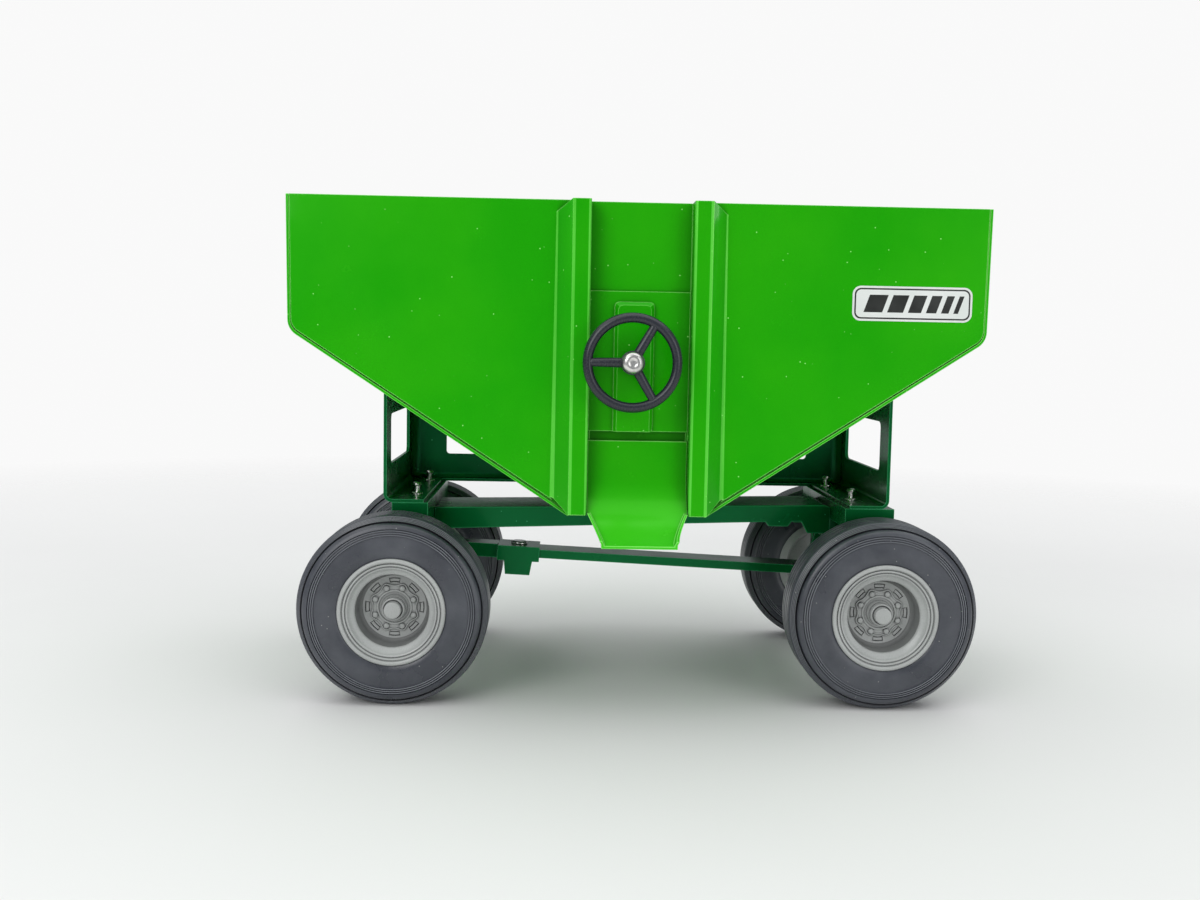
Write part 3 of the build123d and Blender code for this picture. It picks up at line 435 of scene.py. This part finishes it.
def rubber(name, colour, worn_colour):
    """Dark moulded rubber, greyer where handled, with specks of dust."""
    material, shader, place = new_finish(name)
    links = material.node_tree.links
    bloom = between(material, noise(material, place, 48.0, 5.0, 0.6), 0.40, 0.68)
    tint = blend_colour(material, bloom, colour, worn_colour)
    specks = blend_colour(material, dust(material, place, 600.0, 0.10), tint, (0.34, 0.34, 0.33))
    links.new(specks, shader.inputs["Base Color"])
    grain = noise(material, place, 1700.0, 4.0, 0.6)
    links.new(between(material, bloom, 0.0, 1.0, 0.27, 0.44), shader.inputs["Roughness"])
    relief(material, shader, grain, 0.03 * MM, 0.4)
    shader.inputs["Specular IOR Level"].default_value = 0.55
    return material


RING_STARTS = (21.35, 21.95, 22.55)
RING_CREST = 0.24
SHOULDER_GROOVE = (24.6, 25.12)
RIB_STARTS = (25.2, 25.5, 25.8, 26.1)
RIB_CREST = 0.14
TREAD_FLOOR = 26.05
TREAD_OUT = 4.0


def rib_out(start):
    """How far out from the tyre's middle a shoulder rib begins."""
    return 7.0 - 1.4 * (start - RIB_STARTS[0])


def half_section():
    """Outline of one half of the tyre, from the bead to the middle of the tread."""
    line = [
        (14.0, 6.9), (14.1, 7.3), (15.05, 8.05), (15.6, 8.3), (16.6, 8.5), (17.8, 8.55),
        (19.0, 8.5), (20.2, 8.42), (20.9, 8.40), (21.2, 8.36),
    ]
    for start in RING_STARTS:
        drop = 0.30 * (start - RING_STARTS[0])
        line += [(start, 8.74 - drop), (start + RING_CREST, 8.74 - drop),
                 (start + 0.34, 8.34 - drop), (start + 0.50, 8.30 - drop)]
    line += [(23.1, 8.36), (23.6, 8.24), (24.1, 7.98), (24.5, 7.60), (24.66, 7.25),
             (24.70, 6.50), (24.90, 6.30), (25.08, 6.62)]
    for start in RIB_STARTS:
        out = rib_out(start)
        line += [(start, out), (start + RIB_CREST, out - 0.15),
                 (start - 0.20, out - 0.21), (start - 0.16, out - 0.33)]
    line += [(26.35, 5.2), (26.58, 4.9), (26.6, 3.9), (26.0, 3.75), (25.9, 3.5),
             (26.0, 3.25), (26.6, 3.1), (26.6, 1.6), (26.0, 1.45), (25.9, 1.2), (26.0, 0.95),
             (26.6, 0.8)]
    return line


def tyre_finish(face):
    """Which of the three rubbers a face of the tyre shows: 0 plain, 1 crest with a painted
    highlight, 2 groove with painted shade.
    """
    radius, _, out = on_wheel(face)
    out = abs(out)
    finish = 0
    if any(start < radius < start + RING_CREST for start in RING_STARTS) and out > 5.0:
        finish = 1
    elif SHOULDER_GROOVE[0] < radius < SHOULDER_GROOVE[1] and out > 6.0:
        finish = 2
    elif radius < TREAD_FLOOR and out < TREAD_OUT:
        finish = 2
    for start in RIB_STARTS:
        below = out - rib_out(start)
        if start < radius < start + RIB_CREST and abs(below) < 0.2:
            finish = 1
        elif start - 0.21 < radius < start + 0.1 and -0.40 < below < -0.12:
            finish = 2
    return finish


near_half = half_section()
tyre_outline = near_half + [(r, -out) for r, out in reversed(near_half)]
tyre_rubber = rubber("tyre_rubber", RUBBER, RUBBER_WORN)
crest_highlight_rubber = rubber("crest_highlight_rubber", RUBBER_CREST_HIGHLIGHT, RUBBER_WORN)
groove_shade_rubber = rubber("groove_shade_rubber", RUBBER_GROOVE_SHADE, RUBBER)
for end, hand in WHEELS:
    low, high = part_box(f"{end}_{hand}_tyre")
    tyre = turned(tyre_outline, 128, closed=True)
    # Ring and rib crests get a painted highlight; grooves and the tread floor get painted shade.
    for face in tyre.faces:
        face.material_index = tyre_finish(face)
    bmesh.ops.translate(tyre, verts=tyre.verts, vec=(low + high) / 2)
    place_piece(tyre, f"{end}_{hand}_rib_tyre", [tyre_rubber, crest_highlight_rubber, groove_shade_rubber],
                f"{end}_{hand}_wheel", [f"{end}_{hand}_tyre"], 38.0)

# ---- Axle caps ----
# A push-on cap of the same grey plastic hides each end of the axle: a stepped collar and
# a low dome with a flat middle.
for end, body in (("rear", "wagon"), ("front", "front_axle")):
    low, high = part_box(f"{end}_axle_caps")
    middle = (low + high) / 2
    half_length = (high.y - low.y) / 2
    caps = bmesh.new()
    for hand in ("near", "far"):
        cap = turned([
            (0, -3.8), (3.0, -3.8), (3.2, -3.6), (3.2, -2.15), (3.1, -1.95), (2.85, -1.85),
            (2.62, -1.92), (2.52, -2.2), (2.42, -1.9), (2.38, -0.42), (2.27, -0.16),
            (2.05, -0.03), (1.9, 0), (0, 0),
        ], 64)
        bmesh.ops.translate(cap, verts=cap.verts, vec=(0, -half_length, 0))
        if hand == "far":
            half_turned(cap)
        add_to(caps, cap)
    bmesh.ops.translate(caps, verts=caps.verts, vec=middle)
    place_piece(caps, f"{end}_push_on_caps", [rim_plastic], body,
                [f"{end}_axle_caps"], 32.0)

# ---- Tongue ----
# The tongue is a channel bar that hangs in the steering bracket and is stowed backwards
# under the reach. Near its tip a pressed saddle with a guard on each side is riveted over
# it, and a rounded channel with the hitch pin's hole sticks out beyond.
rolled_piece("tongue_bar", "tongue_channel", gear_enamel, "tongue", PRESSED_ROLL)
rolled_piece("hitch_saddle", "saddle_pressing", gear_enamel, "tongue", 0.3 * MM)
rolled_piece("hitch_tip", "hitch_channel", gear_enamel, "tongue", PRESSED_ROLL)
rolled_piece("hitch_rivet", "saddle_rivet", steel, "tongue", 0.2 * MM)

# ---- Skirt and its rivets ----
# A pressed three-sided skirt carries the hopper on the bolsters. Its feet are turned in
# and held by plated rivets with a washer under each head.
WASHER = 1.7
rolled_piece("skirt", "skirt_pressing", gear_enamel, "wagon", PRESSED_ROLL)
low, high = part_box("skirt_rivets")
rivets = bmesh.new()
for x in (low.x + WASHER * MM, high.x - WASHER * MM):
    for y in (low.y + WASHER * MM, high.y - WASHER * MM):
        rivet = turned([
            (0, 0), (WASHER, 0), (WASHER, 0.4), (1.55, 0.55), (0.85, 0.6), (0.8, 0.75), (0.8, 2.5),
            (0.9, 2.62), (1.2, 2.66), (1.3, 2.8), (1.28, 3.1), (1.1, 3.4), (0.7, 3.56),
            (0, 3.6),
        ], 32)
        bmesh.ops.rotate(rivet, verts=rivet.verts, matrix=Matrix.Rotation(math.radians(-90), 3, "X"))
        bmesh.ops.translate(rivet, verts=rivet.verts, vec=(x, y, low.z))
        add_to(rivets, rivet)
place_piece(rivets, "skirt_foot_rivets", steel, "wagon", ["skirt_rivets"])

# ---- Hopper shell ----
# The hopper is thin sheet in bright green enamel, with painted highlights along its rolled
# edges: two bent end sheets that run down into the V, a plain far side, a discharge side
# with two pressed posts, and a cross slope.
BRIGHT_GREEN = (0.009, 0.370, 0.001)
BRIGHT_GREEN_THIN = (0.020, 0.415, 0.002)
# The edge colours are lighter copies of the enamel that paint a highlight along rolled edges.
BRIGHT_GREEN_EDGE_HIGHLIGHT = (0.08, 0.58, 0.04)
BRIGHT_GREEN_EDGE_HIGHLIGHT_THIN = (0.13, 0.70, 0.07)
# Colour of the painted edge highlights, also used for dust specks.
BRIGHT_GREEN_HIGHLIGHT_AND_DUST = (0.34, 0.92, 0.22)
BRIGHT_GREEN_GLOSS = (0.25, 1.0, 0.10)
SHEET_ROLL = 0.16 * MM
POST_BEND = 0.7 * MM
POST_RAISE = 4.5 * MM
POST_LENGTH = 60 * MM

hopper_enamel = [enamel("hopper_enamel", BRIGHT_GREEN, BRIGHT_GREEN_THIN, BRIGHT_GREEN_HIGHLIGHT_AND_DUST,
                        BRIGHT_GREEN_GLOSS, 0.20),
                 enamel("hopper_edge_highlight_enamel", BRIGHT_GREEN_EDGE_HIGHLIGHT, BRIGHT_GREEN_EDGE_HIGHLIGHT_THIN,
                        BRIGHT_GREEN_HIGHLIGHT_AND_DUST, BRIGHT_GREEN_GLOSS, 0.15)]
for node in ("front_end_panel", "rear_end_panel", "far_side_panel"):
    rolled_piece(node, f"{node}_sheet", hopper_enamel, "wagon", SHEET_ROLL)
rolled_piece("floor_ramp", "cross_slope_sheet", hopper_enamel, "wagon", 0.15 * MM)

side = whole_faces("near_side_panel")
low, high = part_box("near_side_panel")
bends = []
for edge in side.edges:
    a, b = (v.co for v in edge.verts)
    upright = abs(a.x - b.x) + abs(a.y - b.y) < 0.01 * MM and abs(a.z - b.z) > POST_LENGTH
    outside = min(abs(a.y - low.y), abs(a.y - low.y - POST_RAISE)) < 0.05 * MM
    if upright and outside and edge.calc_face_angle(0) > math.radians(30):
        bends.append(edge)
rounded = bmesh.ops.bevel(side, geom=bends, offset=POST_BEND, segments=3, affect="EDGES",
                          profile=0.5, material=-1, offset_type="OFFSET")
# The rounded bends of the posts take the lighter edge finish: a painted highlight.
for face in rounded["faces"]:
    face.material_index = 1
side_sheet = place_piece(side, "discharge_side_sheet", hopper_enamel, "wagon",
                         ["near_side_panel"])
round_edges(side_sheet, PRESSED_ROLL)

# ---- Gate, guides, rack and pinion ----
# Behind the bay a flat gate slides up between two guide strips. A toothed rack on its
# face runs on the pinion of the handwheel's shaft, inside the round-cornered housing that
# is pressed out of the bay's cover plate.
HOUSING_CORNER = 1.0 * MM
TOOTH_ROLL = 0.04 * MM
rolled_piece("gate_guides", "gate_guide_strips", hopper_enamel, "wagon", 0.12 * MM)
rolled_piece("gate_plate", "sliding_gate", hopper_enamel, "gate", 0.15 * MM)
rolled_piece("gate_rack", "toothed_rack", steel, "gate", TOOTH_ROLL)
rolled_piece("pinion", "cut_pinion", steel, "handwheel", TOOTH_ROLL)

cover = whole_faces("door_cover_plate")
low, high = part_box("door_cover_plate")
corners = []
for edge in cover.edges:
    a, b = (v.co for v in edge.verts)
    runs_in = abs(a.y - b.y) > 0.3 * MM and abs(a.x - b.x) < 1.2 * MM
    outside = max(a.y, b.y) < high.y - 0.5 * MM and edge.calc_face_angle(0) > math.radians(30)
    if runs_in and outside and min(a.z, b.z) > (low.z + high.z) / 2:
        corners.append(edge)
bmesh.ops.bevel(cover, geom=corners, offset=HOUSING_CORNER, segments=2, affect="EDGES",
                profile=0.5, material=-1, offset_type="OFFSET")
cover_sheet = place_piece(cover, "door_cover_pressing", hopper_enamel, "wagon",
                          ["door_cover_plate"])
round_edges(cover_sheet, 0.35 * MM)

# ---- Handwheel ----
# The handwheel is moulded in charcoal plastic: a ring with a rolled outer edge and a
# flatter inner face, and three round-ended spokes that run onto the ring from a hub.
# It turns on a plated rivet whose low dome has a dimple in the middle.
CHARCOAL = (0.018, 0.021, 0.030)
CHARCOAL_SHADE = (0.006, 0.006, 0.009)
SPOKE_ANGLES = (60, 180, 300)
RING_BACK = 2.1 * MM
BOSS = 2.75

charcoal = moulded("charcoal_plastic", CHARCOAL, CHARCOAL_SHADE, 0.20, 1.2 * MM)
low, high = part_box("handwheel")
radius = (high.x - low.x) / 2
centre = (low + high) / 2
ring_y = low.y + RING_BACK
outer = radius / MM
wheel = turned([
    (outer - 2.62, -0.25), (outer - 2.52, 0.55), (outer - 2.2, 1.02), (outer - 1.75, 1.28),
    (outer - 1.25, 1.33), (outer - 0.75, 1.15), (outer - 0.3, 0.78), (outer - 0.05, 0.3),
    (outer, -0.1), (outer - 0.1, -0.55), (outer - 0.5, -1.05), (outer - 1.1, -1.32),
    (outer - 1.75, -1.28), (outer - 2.3, -0.9),
], 128, closed=True)
spoke_length = radius - 1.6 * MM
for angle in SPOKE_ANGLES:
    spoke = bmesh.new()
    bmesh.ops.create_cone(spoke, cap_ends=True, segments=24, radius1=1.35 * MM,
                          radius2=1.12 * MM, depth=spoke_length)
    tip = [f for f in spoke.faces if len(f.verts) > 4 and f.calc_center_median().z > 0]
    bmesh.ops.bevel(spoke, geom=list(tip[0].edges), offset=0.8 * MM, segments=4,
                    affect="EDGES", profile=0.5, material=-1, offset_type="OFFSET")
    bmesh.ops.translate(spoke, verts=spoke.verts, vec=(0, 0, spoke_length / 2))
    bmesh.ops.scale(spoke, verts=spoke.verts, vec=(1, 0.85, 1))
    bmesh.ops.translate(spoke, verts=spoke.verts, vec=(0, -0.35 * MM, 0))
    bmesh.ops.rotate(spoke, verts=spoke.verts,
                     matrix=Matrix.Rotation(math.radians(90 - angle), 3, "Y"))
    add_to(wheel, spoke)
boss_end = (high.y - ring_y) / MM
add_to(wheel, turned([
    (1.25, 2.1), (BOSS, 2.1), (3.02, 1.95), (3.1, 1.6), (3.1, -1.7), (2.9, -2.05),
    (2.35, -2.15), (2.32, -boss_end + 0.2), (2.2, -boss_end), (1.25, -boss_end),
], 64, closed=True))
bmesh.ops.translate(wheel, verts=wheel.verts, vec=(centre.x, ring_y, centre.z))
place_piece(wheel, "moulded_handwheel", [charcoal], "handwheel",
            ["handwheel"], 42.0)

low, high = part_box("handwheel_shaft")
head = 1.0
shaft_end = head - (high.y - low.y) / MM
shaft = turned([
    (0, 0.85), (0.5, 0.8), (0.95, 0.86), (1.2, head), (1.6, head), (2.1, 0.86), (2.5, 0.58),
    (2.72, 0.2), (BOSS, 0.02), (2.7, 0), (1.2, 0), (1.2, shaft_end), (0, shaft_end),
], 64)
bmesh.ops.translate(shaft, verts=shaft.verts,
                    vec=((low.x + high.x) / 2, low.y + head * MM, (low.z + high.z) / 2))
place_piece(shaft, "handwheel_rivet", steel, "handwheel", ["handwheel_shaft"])

# ---- Chute ----
# The chute is one curved pressing under the gate. It narrows to a mouth with a low lip
# along each side, and its front edge is thick and rolled. A painted highlight makes its
# enamel brighter towards the mouth.
# Painted highlight on the lower chute, and the heights above its bottom where it begins and where it
# is full.
CHUTE_LIP_HIGHLIGHT = (0.050, 0.59, 0.013)
# The edge colours paint a highlight along the chute's rolled edges.
CHUTE_EDGE_HIGHLIGHT = (0.17, 0.74, 0.09)
CHUTE_EDGE_HIGHLIGHT_THIN = (0.22, 0.80, 0.13)
LIP_HIGHLIGHT_FROM = 15 * MM
LIP_HIGHLIGHT_TO = 5 * MM

low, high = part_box("chute")
chute_enamel = [enamel("chute_enamel", BRIGHT_GREEN, BRIGHT_GREEN_THIN, BRIGHT_GREEN_HIGHLIGHT_AND_DUST,
                       BRIGHT_GREEN_GLOSS, 0.20,
                       (CHUTE_LIP_HIGHLIGHT, low.z + LIP_HIGHLIGHT_FROM, low.z + LIP_HIGHLIGHT_TO)),
                enamel("chute_edge_highlight_enamel", CHUTE_EDGE_HIGHLIGHT, CHUTE_EDGE_HIGHLIGHT_THIN, BRIGHT_GREEN_HIGHLIGHT_AND_DUST,
                       BRIGHT_GREEN_GLOSS, 0.15)]
rolled_piece("chute", "chute_pressing", chute_enamel, "wagon", 0.28 * MM)

# ---- Side label ----
# A white printed label near the front of the discharge side, with a thin black border
# and plain slanted bars of falling width.
LABEL_WHITE = (0.80, 0.83, 0.80)
LABEL_WHITE_AGED = (0.72, 0.77, 0.73)
LABEL_INK = (0.012, 0.014, 0.012)
LABEL_INK_THIN = (0.03, 0.033, 0.03)
SKIN = 0.02 * MM
BORDER_OUTER = 0.55 * MM
BORDER_INNER = 0.95 * MM
BARS = 6
BARS_START = 3.0 * MM
BAR_WIDEST = 5.0 * MM
BAR_NARROWER = 0.75 * MM
BAR_MARGIN = 2.3 * MM
BAR_GAP = 1.3 * MM
BAR_LEAN = 1.6 * MM

label_low, label_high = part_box("side_decal")


def printed(name, colour, other_colour, patches, grain, roughness):
    """Smooth printed film with faint patches and a fine grain."""
    material, shader, place = new_finish(name)
    patchy = between(material, noise(material, place, patches), 0.4, 0.7)
    material.node_tree.links.new(blend_colour(material, patchy, colour, other_colour),
                                 shader.inputs["Base Color"])
    relief(material, shader, noise(material, place, grain), 0.01 * MM, 0.3)
    shader.inputs["Roughness"].default_value = roughness
    return material


def raised_print(bm, face, index, rise):
    """Give a flat face of the label its finish and its thickness."""
    face.material_index = index
    grown = bmesh.ops.extrude_face_region(bm, geom=[face])["geom"]
    moved = [g for g in grown if isinstance(g, bmesh.types.BMVert)]
    bmesh.ops.translate(bm, verts=moved, vec=(0, rise, 0))


def rounded_plate(bm, inset, corner, back, front, index):
    """Rounded rectangle so far inside the label's outline, between two depths."""
    left, right = label_low.x + inset + corner, label_high.x - inset - corner
    bottom, top = label_low.z + inset + corner, label_high.z - inset - corner
    verts = []
    for x, z, start in ((right, top, 0), (left, top, 90), (left, bottom, 180), (right, bottom, 270)):
        for step in range(7):
            turn = math.radians(start + 15 * step)
            verts.append(bm.verts.new((x + corner * math.cos(turn), back,
                                       z + corner * math.sin(turn))))
    raised_print(bm, bm.faces.new(verts), index, front - back)


label_white = printed("label_white", LABEL_WHITE, LABEL_WHITE_AGED, 90.0, 1200.0, 0.32)
label_ink = printed("label_ink", LABEL_INK, LABEL_INK_THIN, 150.0, 1400.0, 0.28)
label = bmesh.new()
back = label_high.y
ink_face = label_low.y + 0.5 * SKIN
rounded_plate(label, 0, 2.2 * MM, back, label_low.y + 2 * SKIN, 0)
rounded_plate(label, BORDER_OUTER, 1.7 * MM, back, label_low.y + SKIN, 1)
rounded_plate(label, BORDER_INNER, 1.4 * MM, back, ink_face, 0)
bar_x = label_low.x + BARS_START
bar_low = label_low.z + BAR_MARGIN
bar_high = label_high.z - BAR_MARGIN
for i in range(BARS):
    width = BAR_WIDEST - BAR_NARROWER * i
    outline = [(bar_x, bar_low), (bar_x + width, bar_low),
               (bar_x + width + BAR_LEAN, bar_high), (bar_x + BAR_LEAN, bar_high)]
    bar = label.faces.new([label.verts.new((x, ink_face, z)) for x, z in outline])
    raised_print(label, bar, 1, -0.5 * SKIN)
    bar_x += width + BAR_GAP
bmesh.ops.recalc_face_normals(label, faces=label.faces)
place_piece(label, "plain_side_label", [label_white, label_ink], "wagon", ["side_decal"])

# ---- Floor, light and camera ----
# A plain pale floor that fades into the pale surroundings and is clear from below, a large
# soft light overhead and a little behind, and two smaller ones in front. The camera stands
# in front of the discharge side, a little left of its middle and above it.
FLOOR_PALE = (0.80, 0.80, 0.79)
FLOOR_WORN = (0.77, 0.77, 0.76)
FLOOR_RADIUS = 1.6
FADE_FROM = 0.25
FADE_TO = 0.75

pale, pale_shader, place = new_finish("pale_floor")
trodden = between(pale, noise(pale, place, 4.0), 0.3, 0.7)
pale.node_tree.links.new(blend_colour(pale, trodden, FLOOR_PALE, FLOOR_WORN),
                         pale_shader.inputs["Base Color"])
pale_shader.inputs["Roughness"].default_value = 0.7
away = pale.node_tree.nodes.new("ShaderNodeVectorMath")
away.operation = "LENGTH"
pale.node_tree.links.new(place, away.inputs[0])
fade = pale.node_tree.nodes.new("ShaderNodeMixShader")
clear = pale.node_tree.nodes.new("ShaderNodeBsdfTransparent")
unseen = pale.node_tree.nodes.new("ShaderNodeMath")
unseen.operation = "MAXIMUM"
pale.node_tree.links.new(between(pale, away.outputs["Value"], FADE_FROM, FADE_TO),
                         unseen.inputs[0])
underside = pale.node_tree.nodes.new("ShaderNodeNewGeometry")
pale.node_tree.links.new(underside.outputs["Backfacing"], unseen.inputs[1])
pale.node_tree.links.new(unseen.outputs["Value"], fade.inputs["Fac"])
pale.node_tree.links.new(pale_shader.outputs["BSDF"], fade.inputs[1])
pale.node_tree.links.new(clear.outputs["BSDF"], fade.inputs[2])
pale.node_tree.links.new(fade.outputs["Shader"],
                         pale.node_tree.nodes["Material Output"].inputs["Surface"])
disc = bmesh.new()
bmesh.ops.create_circle(disc, cap_ends=True, segments=96, radius=FLOOR_RADIUS)
floor_mesh = bpy.data.meshes.new("floor")
disc.to_mesh(floor_mesh)
disc.free()
floor_mesh.materials.append(pale)
floor = bpy.data.objects.new("floor", floor_mesh)
bpy.context.scene.collection.objects.link(floor)

world = bpy.data.worlds.new("studio")
world.use_nodes = True
air = world.node_tree
surroundings = air.nodes["Background"]
surroundings.inputs["Color"].default_value = (0.93, 0.96, 1.0, 1.0)
surroundings.inputs["Strength"].default_value = 0.35
backdrop = air.nodes.new("ShaderNodeBackground")
backdrop.inputs["Color"].default_value = (0.95, 0.95, 0.95, 1.0)
choose = air.nodes.new("ShaderNodeMixShader")
air.links.new(air.nodes.new("ShaderNodeLightPath").outputs["Is Camera Ray"], choose.inputs["Fac"])
air.links.new(surroundings.outputs["Background"], choose.inputs[1])
air.links.new(backdrop.outputs["Background"], choose.inputs[2])
air.links.new(choose.outputs["Shader"], air.nodes["World Output"].inputs["Surface"])
bpy.context.scene.world = world


def soft_light(name, place, aim, width, height, power):
    """A rectangular soft box that points at the wagon."""
    light = bpy.data.lights.new(name, "AREA")
    light.shape = "RECTANGLE"
    light.size = width
    light.size_y = height
    light.energy = power
    lamp = bpy.data.objects.new(name, light)
    bpy.context.scene.collection.objects.link(lamp)
    lamp.location = place
    lamp.rotation_euler = (Vector(aim) - Vector(place)).to_track_quat("-Z", "Y").to_euler()


soft_light("overhead", (0.0, 0.2, 1.6), (0.0, 0.2, 0.0), 3.2, 3.2, 40.0)
soft_light("front_left", (-0.45, -0.75, 0.45), (0.0, 0.0, 0.07), 0.5, 0.5, 2.6)
soft_light("front_right", (0.55, -0.70, 0.25), (0.0, 0.0, 0.07), 0.4, 0.5, 1.1)

camera_data = bpy.data.cameras.new("camera")
camera_data.lens = 37.2
camera_data.sensor_width = 36.0
camera_data.clip_start = 0.01
camera = bpy.data.objects.new("camera", camera_data)
right = Vector((0.99933, -0.03132, 0.01876))
up = Vector((-0.01606, 0.08433, 0.99631))
ahead = Vector((0.03279, 0.99595, -0.08377))
turn = Matrix((right, up, -ahead)).transposed().to_4x4()
camera.matrix_world = Matrix.Translation((-0.0230, -0.3797, 0.1007)) @ turn
bpy.context.scene.collection.objects.link(camera)
bpy.context.scene.camera = camera
bpy.context.scene.view_settings.view_transform = "Standard"
